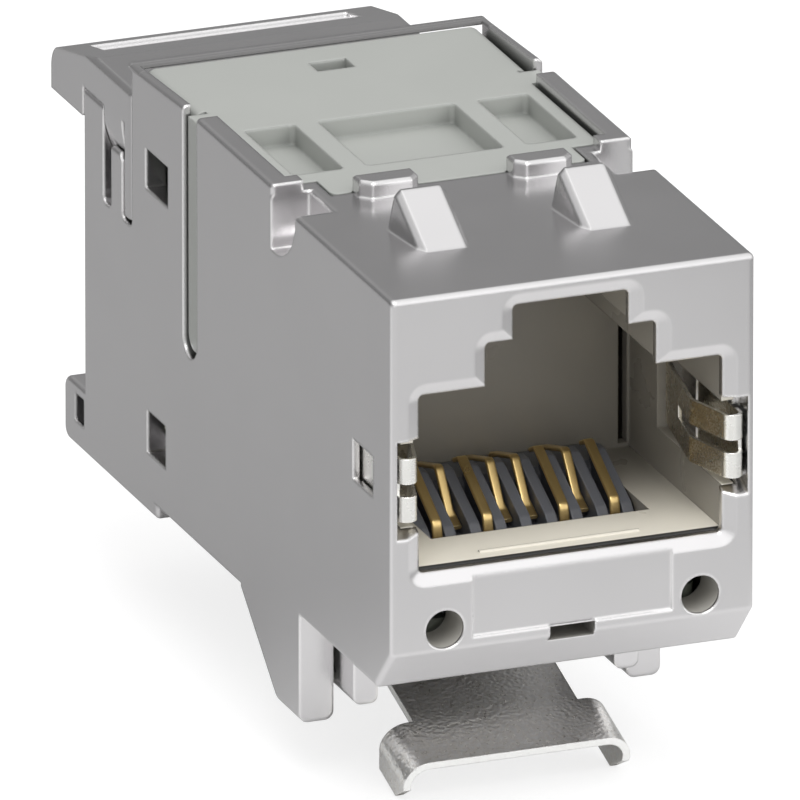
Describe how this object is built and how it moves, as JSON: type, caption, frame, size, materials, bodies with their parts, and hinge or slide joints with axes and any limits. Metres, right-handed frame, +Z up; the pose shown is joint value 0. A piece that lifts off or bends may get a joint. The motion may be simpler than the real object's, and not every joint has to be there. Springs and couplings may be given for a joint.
{
  "type": "keystone jack",
  "caption": "Shielded snap-in data jack with a stepped plug port, spring contacts, a wire stuffer cap and a rear cable clamp.",
  "frame": {"origin": "centre of the front face, in the plane of the face", "axes": "+Y runs back from the front face towards the cable, +Z up, +X to the right seen from the front"},
  "size_m": [0.0144, 0.0356, 0.0239],
  "materials": {
    "cast_metal": "satin nickel plate",
    "spring_steel": "rolled strip",
    "gold_plate": "bright plate",
    "terminal_tin": "tin plate",
    "ivory_plastic": "fine moulded",
    "cover_plastic": "fine moulded",
    "dark_plastic": "fine moulded",
    "block_plastic": "fine moulded",
    "board": "solder mask"
  },
  "bodies": {
    "jack": {"circuit_board": "board", "contact_1": "gold_plate", "contact_2": "gold_plate", "contact_3": "gold_plate", "contact_4": "gold_plate", "contact_5": "gold_plate", "contact_6": "gold_plate", "contact_7": "gold_plate", "contact_8": "gold_plate", "contact_carrier": "dark_plastic", "housing": "cast_metal", "idc_block": "block_plastic", "idc_terminal_1": "terminal_tin", "idc_terminal_2": "terminal_tin", "idc_terminal_3": "terminal_tin", "idc_terminal_4": "terminal_tin", "idc_terminal_5": "terminal_tin", "idc_terminal_6": "terminal_tin", "idc_terminal_7": "terminal_tin", "idc_terminal_8": "terminal_tin", "port_lining": "ivory_plastic", "rear_cap": "cast_metal", "shield_spring_left": "spring_steel", "shield_spring_right": "spring_steel", "stuffer_cap": "cover_plastic"},
    "latch": {"latch_spring": "spring_steel"}
  },
  "joints": [
    {"name": "latch_flex", "type": "hinge", "parent": "jack", "child": "latch", "pos_m": [0, 0.023, -0.0078], "axis": [-1, 0, 0], "range_deg": [0, 6], "stiffness_Nm_per_rad": 0.3}
  ]
}
